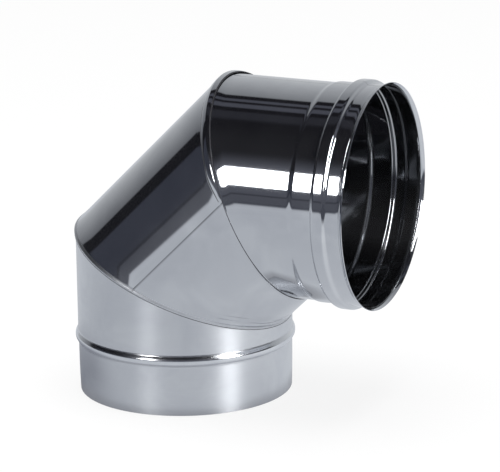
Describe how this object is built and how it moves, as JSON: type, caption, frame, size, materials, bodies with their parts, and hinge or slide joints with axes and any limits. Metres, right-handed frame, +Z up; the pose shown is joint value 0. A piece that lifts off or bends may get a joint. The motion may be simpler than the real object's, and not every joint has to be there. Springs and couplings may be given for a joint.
{
  "type": "segmented flue elbow",
  "caption": "Right-angle flue elbow of rolled stainless sheet in three mitred gores, with a beaded spigot at the bottom and a grooved socket at the side.",
  "frame": {"origin": "centre of the spigot's open end, where its wall starts", "axes": "+Z up the spigot's axis into the elbow, +X along the socket's axis out of its mouth, +Y across the bend's plane"},
  "size_m": [0.3027, 0.2108, 0.3054],
  "materials": {
    "bright_stainless": "bright annealed sheet, near mirror"
  },
  "bodies": {
    "root": {"spigot_gore": "bright_stainless", "middle_gore": "bright_stainless", "socket_gore": "bright_stainless"}
  },
  "joints": []
}
